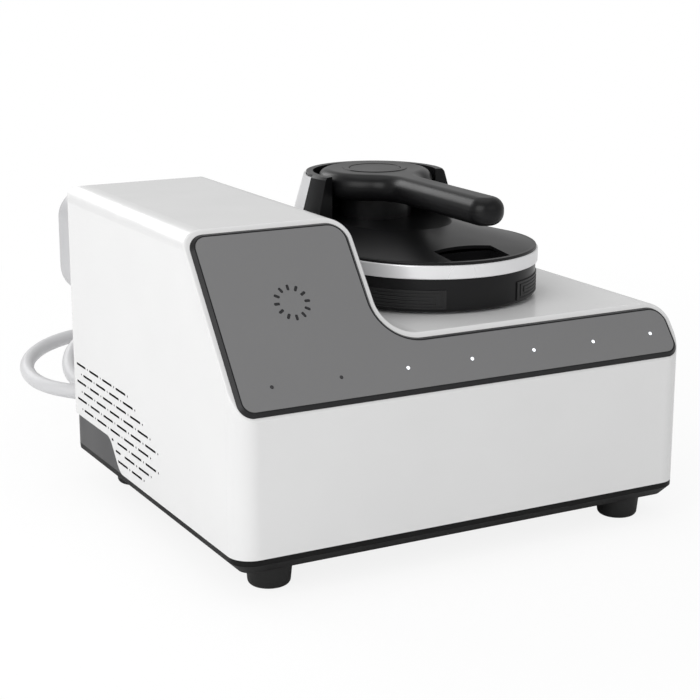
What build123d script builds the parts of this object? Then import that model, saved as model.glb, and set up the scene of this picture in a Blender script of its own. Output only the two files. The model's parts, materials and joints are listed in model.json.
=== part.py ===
"""A desktop facial toning device: a stepped white cabinet with a sloped touch panel, and a round
paddle applicator that stands on the deck and is joined to the cabinet's rear by a hose."""
from build123d import *
import os
from math import atan2, cos, degrees, radians, sin, tan

os.makedirs("parts", exist_ok=True)

# ---------------------------------------------------------------- cabinet sizes, in millimetres
body_width = 450.0        # left face to right face
body_depth = 400.0        # front face to rear face
corner_radius = 20.0      # upright corners
wall = 3.0                # moulded cabinet wall
foot_height = 22.0        # floor to the underside of the tray
tray_height = 14.0        # underside of the tray to the white shell
slope_foot_z = 153.5      # where the upright front wall ends and the slope begins
deck_z = 199.5            # top of the low deck that the applicator stands on
console_z = 291.5         # top of the tall console
slope_lean = 38.2         # degrees that the panel leans back from upright
flank_x = -68.0           # side of the console that faces the deck
top_left_radius = 20.0
console_crown_radius = 23.7
flank_foot_radius = 32.8
deck_edge_radius = 23.0
rear_top_radius = 24.0
rim_round = 2.4           # rolled edge around the slope
cap_reach = 22.0          # how far the exhaust cover stands behind the rear face

lean = radians(slope_lean)
front_y = -(body_depth + cap_reach) / 2
rear_y = front_y + body_depth
mid_y = (front_y + rear_y) / 2
shell_bottom = foot_height + tray_height
slope_deck = (deck_z - slope_foot_z) / cos(lean)
slope_top = (console_z - slope_foot_z) / cos(lean)

# Running gaps and parting lines
seat_gap = 0.3            # between pieces of different bodies that rest on each other
part_gap = 0.2            # parting line between fixed covers
slide_gap = 0.25          # around the applicator's push button
shaft_gap = 0.05          # radial play of the fan shaft and the rocker pin
screw_gap = 0.2           # radial play of a screw in its hole

# Rear step, where the dark skirt rises at the back of both sides
step_foot_y = front_y + 264.5
step_head_y = front_y + 289.0
step_z = 65.0
step_radius = 17.0
skirt_wall = 3.0
tail_radius = 30.0        # rounding of the lower rear edge
tail_inset = 44.0
tail_z = 44.0
tail_corner_radius = 30.0 # upright rear corners below the white shell

# Side vents: rows of slots with a small hole between neighbours
vent_top_z = 117.4
vent_row_pitch = 8.85
vent_slot_length = 25.4
vent_slot_height = 2.3
vent_hole_radius = 1.15
vent_pitch = 35.4
vent_rear_y = rear_y - 37.3           # middle of the rearmost slot of an odd row
vent_shift = 17.7                     # even rows sit half a pitch further forward
vent_rows = ((0, 4), (0, 4), (0, 5), (0, 5), (0, 6), (0, 5), (3, 3), (3, 2), (3, 2))
short_slot_length = 13.0
stub_slot_length = 5.0

# Panel on the slope
panel_rim = 5.2
panel_foot_rim = 3.0
panel_bevel = 3.4
panel_foot_radius = 13.0
overlay_inset = 0.4
overlay_thickness = 1.2
window_ledge = 9.0
key_count = 7
key_pitch = 63.5
key_first_x = -186.5
key_v = 26.5
key_guide_radius = 1.5
dial_x = -145.5
dial_v = 98.5
dial_radius = 14.0
dial_bars = 12
dial_bar_length = 5.0
dial_bar_width = 2.2

# Rear panel and what it carries
rear_window_width = 372.0
rear_window_top = 168.0
rear_lap = 8.0
rear_plate = 2.5
inlet_x, inlet_z = 120.0, 100.0
inlet_flange = (50.0, 30.0)
inlet_socket = (24.0, 16.0)
inlet_depth = 14.0
inlet_body = (44.0, 24.0, 26.0)
fuse_size = (12.0, 16.0)
switch_x, switch_z = 60.0, 100.0
switch_bezel_size = (21.0, 28.0)
rocker_size = (13.0, 20.0)
rocker_tilt = 12.0
rocker_pin_radius = 1.5
hose_x, hose_z = -50.0, 128.0
hose_diameter = 15.0
socket_radius = 17.0
socket_reach = 9.0
plug_radius = 12.5
plug_length = 26.0
relief_length = 34.0

# Exhaust fan and its cover
fan_x, fan_z = -173.0, 231.0
fan_size = 70.0
fan_depth = 15.0
fan_bore = 33.0
fan_hub_radius = 15.0
fan_blades = 7
fan_tip_gap = 0.8
cap_width, cap_height = 100.0, 104.0
cap_corner = 28.0
cap_round = 5.0
cap_run_on = 14.0         # how far its wall runs forward over the cabinet's rounded edges
cap_wall = 2.5
cap_slots = 9
cap_slot_pitch = 7.0
cap_slot_length = 60.0
cap_slot_height = 3.0

# Feet
foot_inset_x = 44.0
foot_front_inset = 35.0
foot_rear_inset = 63.0
foot_top_radius = 20.2
foot_bottom_radius = 18.0
foot_round = 4.5
foot_screw_radius = 2.0

# Applicator
hand_x = 55.0
hub_y = front_y + 277.0
head_offset = 105.0       # hub centre to the centre of the round head
head_radius = 101.5
tail_circle_radius = 82.0
plate_inset = 9.0
skirt_inset = 2.0
skirt_ring = 3.0
plate_thickness = 6.0
plate_lip = 2.0
skirt_top = deck_z + 32.5
band_top = skirt_top + 12.5
head_rim_top = band_top + 2.5
dome_z = head_rim_top + 11.0
pad_proud = 1.0
pad_start, pad_end = 22.0, 74.0       # degrees each side of the head's front
pocket_rear_y = hub_y - 163.0
pocket_half_width = 30.5
pocket_bulge = 5.0        # how far the middle of its rear edge stands behind the ends
pocket_floor = head_rim_top - 8.0
hub_top = dome_z + 45.5
neck_top = hub_top - 5.0
neck_radius_top = 70.0
neck_radius_foot = 80.0
neck_shoulder_z = head_rim_top + 16.0
lining_outer = 67.5
lining_inner = 61.0
lining_front_angle = 20.0
lining_top = neck_top + 2.5
hub_radius = 56.5
grip_depth = 25.5         # underside to crown
grip_width = 34.0
grip_reach = 216.5        # hub centre to the grip's tip
grip_blend = 30.0
grip_crown_round = 11.5
grip_under_round = 11.5
grip_wall = 3.0
grip_under_z = hub_top - grip_depth
grip_split_z = grip_under_z + 6.0
ring_outer = 31.5
button_radius = 25.0
button_travel = 1.2
hand_hose_z = deck_z + 17.5

hub_centre = (hand_x, hub_y)
head_centre = (hand_x, hub_y - head_offset)
face_z = deck_z + seat_gap


# ---------------------------------------------------------------- shared outlines
def cabinet_plan(inset, mode=Mode.ADD):
    """Rounded plan of the cabinet, set in from its upright faces."""
    with Locations((0, mid_y)):
        RectangleRounded(
            body_width - 2 * inset, body_depth - 2 * inset, max(corner_radius - inset, 2.0), mode=mode
        )


def slope_plane(depth):
    """Plane of the slope, moved inwards by a depth measured square to it."""
    return Plane(
        origin=(0, front_y + depth / cos(lean), slope_foot_z),
        x_dir=(1, 0, 0),
        z_dir=(0, -cos(lean), sin(lean)),
    )


def slope_outline(inset, low, low_radius=0.0, mode=Mode.ADD):
    """Outline on the slope: tall console on the left, low deck on the right, S-shaped flank."""
    left, right = inset - body_width / 2, body_width / 2 - inset
    flank, deck_v, top_v = flank_x - inset, slope_deck - inset, slope_top - inset
    with BuildLine() as outline:
        FilletPolyline(
            (left, low),
            (right, low),
            (right, deck_v),
            (flank, deck_v),
            (flank, top_v),
            (left, top_v),
            radius=[
                low_radius,
                low_radius,
                max(deck_edge_radius - inset, 1.0),
                flank_foot_radius + inset,
                max(console_crown_radius - inset, 1.0),
                max(top_left_radius - inset, 1.0),
            ],
            close=True,
        )
    make_face(outline.edges(), mode=mode)


def side_profile(inset):
    """Side view of the cabinet's back: upright rear face with a rounded top edge."""
    rear, top = rear_y - inset, console_z - inset
    with BuildLine() as outline:
        FilletPolyline(
            (front_y - body_depth, -foot_height),
            (rear, -foot_height),
            (rear, top),
            (front_y - body_depth, top),
            radius=[0, 0, rear_top_radius - inset, 0],
            close=True,
        )
    make_face(outline.edges())


def rear_step(gap):
    """Side view of the space under the white shell's raised rear edge."""
    with BuildLine() as outline:
        FilletPolyline(
            (front_y, 0),
            (rear_y + corner_radius, 0),
            (rear_y + corner_radius, step_z - gap),
            (step_head_y, step_z - gap),
            (step_foot_y, shell_bottom - gap),
            (front_y, shell_bottom - gap),
            radius=[0, 0, 0, step_radius, step_radius, 0],
            close=True,
        )
    make_face(outline.edges())


def tail_profile(inset=0.0):
    """Side view of the lower rear edge, which rounds under towards the floor."""
    with BuildLine() as outline:
        FilletPolyline(
            (front_y - body_depth, 0),
            (rear_y - 2 * tail_inset, 0),
            (rear_y - tail_inset, foot_height),
            (rear_y, tail_z),
            (rear_y, console_z),
            (front_y - body_depth, console_z),
            radius=[0, 0, 0, tail_radius, 0, 0],
            close=True,
        )
    make_face(outline.edges())
    if inset:
        offset(amount=-inset, kind=Kind.INTERSECTION, mode=Mode.REPLACE)


def tail_plan(inset, mode=Mode.ADD):
    """Plan of the dark lower part: as the cabinet, with rounder rear corners. It runs on forwards."""
    with Locations((0, rear_y - body_depth)):
        RectangleRounded(
            body_width - 2 * inset, 2 * (body_depth - inset), tail_corner_radius - inset, mode=mode
        )


def circle_pair(centre_a, radius_a, centre_b, radius_b, mode=Mode.ADD):
    """Two circles on one line along Y, wrapped by their outer tangents. The first is in front."""
    span = centre_b[1] - centre_a[1]
    tilt = degrees(atan2(radius_a - radius_b, (span**2 - (radius_a - radius_b) ** 2) ** 0.5))
    with BuildLine() as outline:
        front = CenterArc(centre_a, radius_a, 180 - tilt, 180 + 2 * tilt)
        back = CenterArc(centre_b, radius_b, tilt, 180 - 2 * tilt)
        Line(front @ 1, back @ 0)
        Line(back @ 1, front @ 0)
    make_face(outline.edges(), mode=mode)


def head_plan(inset, mode=Mode.ADD):
    """Plan of the applicator's head, set in from the trim band."""
    circle_pair(head_centre, head_radius - inset, hub_centre, tail_circle_radius - inset, mode=mode)


def at_height(z):
    """Level plane at a height above the floor."""
    return Plane.XY.offset(z)


def facing_rear(y):
    """Upright plane at y whose normal points to the back; its x axis runs to -X."""
    return Plane(origin=(0, y, 0), x_dir=(-1, 0, 0), z_dir=(0, 1, 0))


def finish(builder, name):
    """Label a finished piece and write it."""
    builder.part.label = name
    export_step(builder.part, f"parts/{name}.step")


# ---------------------------------------------------------------- white main shell
boss_x = body_width / 2 - 21.0
plate_screw_radius = 1.5
plate_screw_spots = [
    (side * (rear_window_width + rear_lap) / 2, rear_window_top - 30.0) for side in (-1, 1)
] + [(side * rear_window_width / 2, rear_window_top + rear_lap / 2) for side in (-0.9, 0, 0.9)]
boss_spots = [(side * boss_x, y) for side in (-1, 1) for y in (front_y + 48.0, mid_y, rear_y - 76.0)]
boss_radius = 5.0
boss_height = 30.0
pilot_radius = 1.6
pilot_depth = 22.0
shell_screw_radius = pilot_radius - screw_gap / 2

with BuildPart() as cavity:
    with BuildSketch(at_height(0)):
        cabinet_plan(wall)
    extrude(amount=console_z)
    with BuildSketch(slope_plane(wall)):
        slope_outline(wall, -1.5 * slope_top)
    extrude(amount=2 * body_depth, dir=(0, 1, 0), mode=Mode.INTERSECT)
    with BuildSketch(Plane.YZ):
        side_profile(wall)
    extrude(amount=body_width, both=True, mode=Mode.INTERSECT)

vent_slots, vent_holes = [], []
for row, (first, count) in enumerate(vent_rows):
    row_z = vent_top_z - row * vent_row_pitch
    row_y = vent_rear_y - (row % 2) * vent_shift
    for column in range(first, first + count):
        slot_y = row_y - column * vent_pitch
        vent_slots.append((slot_y, row_z))
        vent_holes.append((slot_y - vent_pitch / 2, row_z))
    if row % 2 and first == 0:
        vent_holes.append((row_y + vent_pitch / 2, row_z))
# two rows start with what the rear step leaves of a slot: its front end
cut_slots = [
    (vent_rear_y - 2 * vent_pitch, 6, stub_slot_length),
    (vent_rear_y - vent_shift - 2 * vent_pitch, 7, short_slot_length),
]

with BuildPart() as main_shell:
    with BuildSketch(at_height(shell_bottom)):
        cabinet_plan(0)
    extrude(amount=console_z - shell_bottom)
    with BuildSketch(slope_plane(0)):
        slope_outline(0, -1.5 * slope_top)
    extrude(amount=2 * body_depth, dir=(0, 1, 0), mode=Mode.INTERSECT)
    with BuildSketch(Plane.YZ):
        side_profile(0)
    extrude(amount=body_width, both=True, mode=Mode.INTERSECT)
    slope_face = main_shell.faces().sort_by_distance((0, front_y + 10, slope_foot_z + 14))[0]
    fillet(slope_face.edges(), rim_round)
    add(cavity.part, mode=Mode.SUBTRACT)
    # bosses for the screws that come up through the tray, each on a rib to the side wall
    for x, y in boss_spots:
        side = 1 if x > 0 else -1
        with BuildSketch(at_height(shell_bottom)):
            with Locations((x, y)):
                Circle(boss_radius)
            with Locations(((x + side * (body_width / 2 - wall / 2)) / 2, y)):
                Rectangle(abs(side * (body_width / 2 - wall / 2) - x), 2.0)
        extrude(amount=boss_height)
        with BuildSketch(at_height(shell_bottom)):
            with Locations((x, y)):
                Circle(pilot_radius)
        extrude(amount=pilot_depth, mode=Mode.SUBTRACT)
    # window behind the panel
    with BuildSketch(slope_plane(0)):
        slope_outline(panel_rim + window_ledge, panel_foot_rim + window_ledge, 4.0)
    extrude(amount=-4 * wall, mode=Mode.SUBTRACT)
    # raised rear edge for the skirt
    with BuildSketch(Plane.YZ):
        rear_step(0)
    extrude(amount=body_width, both=True, mode=Mode.SUBTRACT)
    # rear window and the exhaust hole
    with BuildSketch(facing_rear(rear_y - 2 * wall)):
        with Locations((0, (rear_window_top + step_z) / 2 - 4.0)):
            RectangleRounded(rear_window_width, rear_window_top - step_z + 8.0, 8.0)
        with Locations((-fan_x, fan_z)):
            Circle(fan_bore)
        with Locations(*[(-x, z) for x, z in plate_screw_spots]):
            Circle(plate_screw_radius + screw_gap)
    extrude(amount=4 * wall, mode=Mode.SUBTRACT)
    # side vents, the same on both sides
    for side in (-1, 1):
        with BuildSketch(Plane.YZ.offset(side * (body_width / 2 - wall / 2) - wall)):
            with Locations(*vent_slots):
                SlotOverall(vent_slot_length, vent_slot_height)
            for whole_y, row, length in cut_slots:
                with Locations((whole_y - (vent_slot_length - length) / 2, vent_top_z - row * vent_row_pitch)):
                    SlotOverall(length, vent_slot_height)
            with Locations(*vent_holes):
                Circle(vent_hole_radius)
        extrude(amount=2 * wall, mode=Mode.SUBTRACT)
finish(main_shell, "main_shell")

# ---------------------------------------------------------------- base tray and rear skirt
tray_band = 5.0
tray_taper = 9.5
tray_floor = 3.0
tray_side = tray_taper + 3.0
tray_tail = tail_inset
foot_spots = [
    (side * (body_width / 2 - foot_inset_x), y)
    for y in (front_y + foot_front_inset, rear_y - foot_rear_inset)
    for side in (-1, 1)
]
tray_inner_z = foot_height + tray_floor
standoff_height = 10.0
tray_pad_radius = 7.0
screw_head_radius = 3.2
screw_head_depth = 3.0

with BuildPart() as base_tray:
    with BuildSketch(at_height(shell_bottom)):
        cabinet_plan(part_gap)
    extrude(amount=-tray_band)
    with BuildSketch(at_height(shell_bottom - tray_band)):
        cabinet_plan(part_gap)
    with BuildSketch(at_height(foot_height)):
        cabinet_plan(tray_taper)
    loft(ruled=True)
    with BuildSketch(Plane.YZ):
        tail_profile()
    extrude(amount=body_width, both=True, mode=Mode.INTERSECT)
    with BuildSketch(at_height(foot_height)):
        tail_plan(part_gap)
    extrude(amount=tray_height, mode=Mode.INTERSECT)
    with BuildSketch(at_height(tray_inner_z)):
        with Locations((0, mid_y + (tray_side - tray_tail) / 2)):
            RectangleRounded(body_width - 2 * tray_side, body_depth - tray_side - tray_tail, 12.0)
        with Locations(*boss_spots):
            Circle(tray_pad_radius, mode=Mode.SUBTRACT)
    extrude(amount=tray_height, mode=Mode.SUBTRACT)
    with Locations(*[(x, y, foot_height) for x, y in boss_spots]):
        with Locations((0, 0, tray_height / 2)):
            Cylinder(pilot_radius + screw_gap, tray_height * 2, mode=Mode.SUBTRACT)
        Cylinder(
            screw_head_radius + screw_gap,
            screw_head_depth,
            align=(Align.CENTER, Align.CENTER, Align.MIN),
            mode=Mode.SUBTRACT,
        )
    with Locations(*[(x, y, foot_height) for x, y in foot_spots]):
        Cylinder(foot_screw_radius + screw_gap, 4 * tray_floor, mode=Mode.SUBTRACT)
finish(base_tray, "base_tray")

with BuildPart() as skirt_hollow:
    with BuildSketch(at_height(foot_height)):
        tail_plan(skirt_wall)
    extrude(amount=step_z - foot_height)
    with BuildSketch(Plane.YZ):
        tail_profile(skirt_wall)
    extrude(amount=body_width, both=True, mode=Mode.INTERSECT)

with BuildPart() as rear_skirt:
    with BuildSketch(at_height(shell_bottom)):
        tail_plan(part_gap)
    extrude(amount=step_z - shell_bottom)
    with BuildSketch(Plane.YZ):
        rear_step(part_gap)
    extrude(amount=body_width, both=True, mode=Mode.INTERSECT)
    with BuildSketch(Plane.YZ):
        tail_profile()
    extrude(amount=body_width, both=True, mode=Mode.INTERSECT)
    add(skirt_hollow.part, mode=Mode.SUBTRACT)
finish(rear_skirt, "rear_skirt")

# ---------------------------------------------------------------- feet and tray screws
foot_names = ("front_left", "front_right", "rear_left", "rear_right")
foot_recess_radius = 7.0
foot_recess_depth = 14.0
for (x, y), corner in zip(foot_spots, foot_names):
    with BuildPart() as foot:
        with BuildSketch(at_height(0)):
            with Locations((x, y)):
                Circle(foot_bottom_radius)
        with BuildSketch(at_height(foot_height)):
            with Locations((x, y)):
                Circle(foot_top_radius)
        loft(ruled=True)
        fillet(foot.edges().sort_by(Axis.Z)[0], foot_round)
        with Locations((x, y, 0)):
            Cylinder(foot_screw_radius + screw_gap, 3 * foot_height, mode=Mode.SUBTRACT)
            Cylinder(
                foot_recess_radius,
                foot_recess_depth,
                align=(Align.CENTER, Align.CENTER, Align.MIN),
                mode=Mode.SUBTRACT,
            )
    finish(foot, f"foot_{corner}")

with BuildPart() as foot_screws:
    with Locations(*[(x, y, foot_recess_depth) for x, y in foot_spots]):
        Cylinder(foot_screw_radius * 2, 2.4, align=(Align.CENTER, Align.CENTER, Align.MAX))
        Cylinder(
            foot_screw_radius,
            foot_height + tray_floor - foot_recess_depth + 1.0,
            align=(Align.CENTER, Align.CENTER, Align.MIN),
        )
finish(foot_screws, "foot_screws")

with BuildPart() as shell_screws:
    with Locations(*[(x, y, foot_height + screw_head_depth) for x, y in boss_spots]):
        Cylinder(screw_head_radius, screw_head_depth - 0.4, align=(Align.CENTER, Align.CENTER, Align.MAX))
        Cylinder(
            shell_screw_radius,
            tray_height - screw_head_depth + pilot_depth - 4.0,
            align=(Align.CENTER, Align.CENTER, Align.MIN),
        )
finish(shell_screws, "shell_screws")

# ---------------------------------------------------------------- panel on the slope
face_plane = slope_plane(0).offset(panel_bevel)
pocket_inset = panel_rim + panel_bevel + overlay_inset
pocket_foot = panel_foot_rim + panel_bevel + overlay_inset
board_gap = 2.0
board_thickness = 1.6
key_spots = [(key_first_x + i * key_pitch, key_v) for i in range(key_count)]
key_guide_length = panel_bevel + wall + board_gap
web_thickness = 1.4       # of the bezel's plate, between its overlay pocket and its back


def dial_marks(radius, clearance=0.0):
    """Short radial bars in a ring: the windows of the round gauge."""
    with Locations((dial_x, dial_v)):
        with PolarLocations(radius, dial_bars):
            RectangleRounded(
                dial_bar_length + 2 * clearance, dial_bar_width + 2 * clearance, 0.9 + clearance
            )


with BuildPart() as panel_bezel:
    with BuildSketch(slope_plane(0)):
        slope_outline(panel_rim, panel_foot_rim, panel_foot_radius)
    extrude(amount=panel_bevel)
    outer_face = panel_bezel.faces().sort_by(Axis((0, 0, 0), (0, -cos(lean), sin(lean))))[-1]
    chamfer(outer_face.edges(), panel_bevel - 0.6)
    with BuildSketch(face_plane):
        slope_outline(pocket_inset, pocket_foot, panel_foot_radius - panel_bevel)
    extrude(amount=-overlay_thickness, mode=Mode.SUBTRACT)
    # the back is hollowed so the bezel is a rim and a thin plate
    with BuildSketch(slope_plane(0)):
        slope_outline(panel_rim + window_ledge + 3.0, panel_foot_rim + window_ledge + 3.0, 4.0)
    extrude(amount=panel_bevel - overlay_thickness - web_thickness, mode=Mode.SUBTRACT)
    with BuildSketch(slope_plane(0)):
        with Locations(*key_spots):
            Circle(key_guide_radius + screw_gap)
        dial_marks(dial_radius, screw_gap)
    extrude(amount=panel_bevel, mode=Mode.SUBTRACT)
finish(panel_bezel, "panel_bezel")

with BuildPart() as panel_overlay:
    with BuildSketch(face_plane):
        slope_outline(
            pocket_inset + part_gap, pocket_foot + part_gap, panel_foot_radius - panel_bevel
        )
        with Locations(*key_spots):
            Circle(key_guide_radius + screw_gap, mode=Mode.SUBTRACT)
        with Locations((dial_x, dial_v)):
            with PolarLocations(dial_radius, dial_bars):
                RectangleRounded(
                    dial_bar_length + 2 * screw_gap, dial_bar_width + 2 * screw_gap, 1.1, mode=Mode.SUBTRACT
                )
    extrude(amount=-overlay_thickness)
finish(panel_overlay, "panel_overlay")

with BuildPart() as key_light_guides:
    with BuildSketch(face_plane):
        with Locations(*key_spots):
            Circle(key_guide_radius)
    extrude(amount=-key_guide_length)
finish(key_light_guides, "key_light_guides")

with BuildPart() as gauge_light_guides:
    with BuildSketch(face_plane):
        dial_marks(dial_radius)
    extrude(amount=-key_guide_length)
finish(gauge_light_guides, "gauge_light_guides")

board_plane = face_plane.offset(-key_guide_length)
key_board_height = 26.0
post_radius = 3.0
key_board_ends = (-body_width / 2 + 18.0, body_width / 2 - 18.0)
gauge_board_size = 74.0
clip_length = 8.0

with BuildPart() as key_board:
    with BuildSketch(board_plane):
        with Locations((sum(key_board_ends) / 2, key_v)):
            RectangleRounded(key_board_ends[1] - key_board_ends[0], key_board_height, 3.0)
    extrude(amount=-board_thickness)
    # side clips that reach forward to the bezel's back
    with BuildSketch(board_plane):
        for x in key_board_ends:
            with Locations((x - (clip_length / 2 if x > 0 else -clip_length / 2), key_v)):
                Rectangle(clip_length, key_board_height - 8.0)
    extrude(amount=key_guide_length - overlay_thickness - web_thickness)
finish(key_board, "key_board")

with BuildPart() as gauge_board:
    with BuildSketch(board_plane):
        with Locations((dial_x, dial_v)):
            RectangleRounded(gauge_board_size, gauge_board_size, 3.0)
    extrude(amount=-board_thickness)
    with BuildSketch(board_plane):
        with Locations((dial_x, dial_v)):
            with GridLocations(gauge_board_size - 8.0, gauge_board_size - 8.0, 2, 2):
                Circle(post_radius)
    extrude(amount=key_guide_length - overlay_thickness - web_thickness)
finish(gauge_board, "gauge_board")

# ---------------------------------------------------------------- rear panel
plate_back_y = rear_y - wall              # outer face of the plate, against the shell's inner face
plate_front_y = plate_back_y - rear_plate
socket_hole_radius = plug_radius + 1.5

with BuildPart() as rear_panel:
    with BuildSketch(facing_rear(plate_front_y)):
        low_z, high_z = step_z - 2.5, rear_window_top + rear_lap
        with Locations((0, (low_z + high_z) / 2)):
            RectangleRounded(rear_window_width + 2 * rear_lap, high_z - low_z, 6.0)
        with Locations((-inlet_x, inlet_z)):
            Rectangle(inlet_body[0] + part_gap, inlet_body[1] + part_gap, mode=Mode.SUBTRACT)
        with Locations((-switch_x, switch_z)):
            Rectangle(rocker_size[0] + 3.4, rocker_size[1] + 3.4, mode=Mode.SUBTRACT)
        with Locations((-hose_x, hose_z)):
            Circle(socket_hole_radius + part_gap, mode=Mode.SUBTRACT)
        with Locations(*[(-x, z) for x, z in plate_screw_spots]):
            Circle(plate_screw_radius + screw_gap, mode=Mode.SUBTRACT)
        # exhaust slots beside the hose socket
        with Locations((-(hose_x - 70.0), hose_z - 18.0)):
            with GridLocations(0, 7.0, 1, 7):
                SlotOverall(64.0, 3.0, mode=Mode.SUBTRACT)
    extrude(amount=rear_plate)
finish(rear_panel, "rear_panel")

with BuildPart() as rear_panel_screws:
    for x, z in plate_screw_spots:
        with BuildSketch(facing_rear(rear_y)):
            with Locations((-x, z)):
                Circle(plate_screw_radius * 2)
        extrude(amount=1.8)
        with BuildSketch(facing_rear(rear_y)):
            with Locations((-x, z)):
                Circle(plate_screw_radius)
        extrude(amount=-9.0)
finish(rear_panel_screws, "rear_panel_screws")

with BuildPart() as power_inlet:
    with BuildSketch(facing_rear(plate_back_y)):
        with Locations((-inlet_x, inlet_z)):
            RectangleRounded(*inlet_flange, 2.5)
    extrude(amount=wall)
    with BuildSketch(facing_rear(plate_back_y)):
        with Locations((-inlet_x, inlet_z)):
            Rectangle(inlet_body[0], inlet_body[1])
    extrude(amount=-inlet_body[2])
    socket_x = -inlet_x - inlet_flange[0] / 2 + 4.0 + inlet_socket[0] / 2 + 1.0
    with BuildSketch(facing_rear(plate_back_y + wall)):
        with Locations((socket_x, inlet_z)):
            RectangleRounded(*inlet_socket, 3.0)
    extrude(amount=-inlet_depth, mode=Mode.SUBTRACT)
    fuse_spot = (socket_x + inlet_socket[0] / 2 + fuse_size[0] / 2 + 2.0, inlet_z)
    with BuildSketch(facing_rear(plate_back_y + wall)):
        with Locations(fuse_spot):
            Rectangle(fuse_size[0] + part_gap, fuse_size[1] + part_gap)
    extrude(amount=-inlet_depth, mode=Mode.SUBTRACT)
finish(power_inlet, "power_inlet")

with BuildPart() as inlet_pins:
    with BuildSketch(facing_rear(plate_back_y + wall - inlet_depth)):
        with Locations((socket_x - 7.0, inlet_z - 2.0), (socket_x, inlet_z + 2.0), (socket_x + 7.0, inlet_z - 2.0)):
            Rectangle(2.0, 4.0)
    extrude(amount=inlet_depth - 6.0)
finish(inlet_pins, "inlet_pins")

with BuildPart() as fuse_drawer:
    with BuildSketch(facing_rear(plate_back_y + wall + 0.6)):
        with Locations(fuse_spot):
            RectangleRounded(*fuse_size, 1.0)
    extrude(amount=-inlet_depth - 0.6)
    with BuildSketch(facing_rear(plate_back_y + wall + 0.6)):
        with Locations(fuse_spot):
            Rectangle(fuse_size[0] - 5.0, 1.2)
    extrude(amount=-0.8, mode=Mode.SUBTRACT)
finish(fuse_drawer, "fuse_drawer")

# Rocker switch: the bezel holds the pin, and the rocker rests tipped against its stop
pivot_y = plate_back_y + 0.4
switch_depth = 16.0
rocker_drop = 9.0
rocker_clear = 0.6
stop_floor = 4.8

with BuildPart() as switch_bezel:
    with BuildSketch(facing_rear(plate_back_y)):
        with Locations((-switch_x, switch_z)):
            RectangleRounded(*switch_bezel_size, 2.0)
    extrude(amount=1.8)
    with BuildSketch(facing_rear(plate_back_y)):
        with Locations((-switch_x, switch_z)):
            Rectangle(rocker_size[0] + 3.0, rocker_size[1] + 3.0)
    extrude(amount=-switch_depth)
    with BuildSketch(facing_rear(plate_back_y + 1.8)):
        with Locations((-switch_x, switch_z)):
            Rectangle(rocker_size[0] + 2 * rocker_clear, rocker_size[1] + 2 * rocker_clear)
    extrude(amount=-rocker_drop - 1.8 - stop_floor, mode=Mode.SUBTRACT)
    with BuildSketch(Plane.YZ.offset(switch_x)):
        with Locations((pivot_y, switch_z)):
            Circle(rocker_pin_radius)
    extrude(amount=rocker_size[0] / 2 + 1.2, both=True)
finish(switch_bezel, "switch_bezel")

with BuildPart() as rocker:
    with BuildSketch(Plane.YZ.offset(switch_x)):
        with BuildLine() as outline:
            Polyline(
                (pivot_y + 2.6, switch_z + rocker_size[1] / 2 - 0.4),
                (pivot_y + 3.4, switch_z),
                (pivot_y + 2.6, switch_z - rocker_size[1] / 2 + 0.4),
                (pivot_y - 2.6, switch_z - rocker_size[1] / 2 + 1.4),
                (pivot_y - rocker_drop + 2.0, switch_z),
                (pivot_y - 2.6, switch_z + rocker_size[1] / 2 - 1.4),
                close=True,
            )
        make_face(outline.edges())
        with Locations((pivot_y, switch_z)):
            Circle(rocker_pin_radius + shaft_gap, mode=Mode.SUBTRACT)
    extrude(amount=rocker_size[0] / 2, both=True)
pivot_axis = Axis((switch_x, pivot_y, switch_z), (1, 0, 0))
rocker.part = rocker.part.rotate(pivot_axis, -rocker_tilt)
finish(rocker, "rocker")

# ---------------------------------------------------------------- exhaust fan and its cap
frame_gap = 1.0
fan_back_y = rear_y - wall - frame_gap
fan_front_y = fan_back_y - fan_depth
fan_pin_radius = 1.5
strut_width = 4.0
motor_plate = 2.0

with BuildPart() as fan_frame:
    with BuildSketch(facing_rear(fan_front_y)):
        with Locations((-fan_x, fan_z)):
            RectangleRounded(fan_size, fan_size, 5.0)
            Circle(fan_bore, mode=Mode.SUBTRACT)
            with GridLocations(fan_size - 8.0, fan_size - 8.0, 2, 2):
                Circle(1.8, mode=Mode.SUBTRACT)
    extrude(amount=fan_depth)
    with BuildSketch(facing_rear(fan_front_y)):
        with Locations((-fan_x, fan_z)):
            Circle(fan_hub_radius - 1.0)
            with PolarLocations(0, 4, start_angle=45):
                with Locations((fan_bore / 2 + 1.0, 0)):
                    Rectangle(fan_bore, strut_width)
    extrude(amount=motor_plate)
    with BuildSketch(facing_rear(fan_front_y)):
        with Locations((-fan_x, fan_z)):
            Circle(fan_pin_radius)
    extrude(amount=fan_depth - 3.0)
    # foam-gasket lugs that seat the frame on the rear wall
    with BuildSketch(facing_rear(fan_back_y)):
        with Locations((-fan_x, fan_z)):
            with GridLocations(fan_size - 20.0, fan_size - 6.0, 2, 2):
                Rectangle(10.0, 5.0)
    extrude(amount=frame_gap)
finish(fan_frame, "fan_frame")

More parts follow.
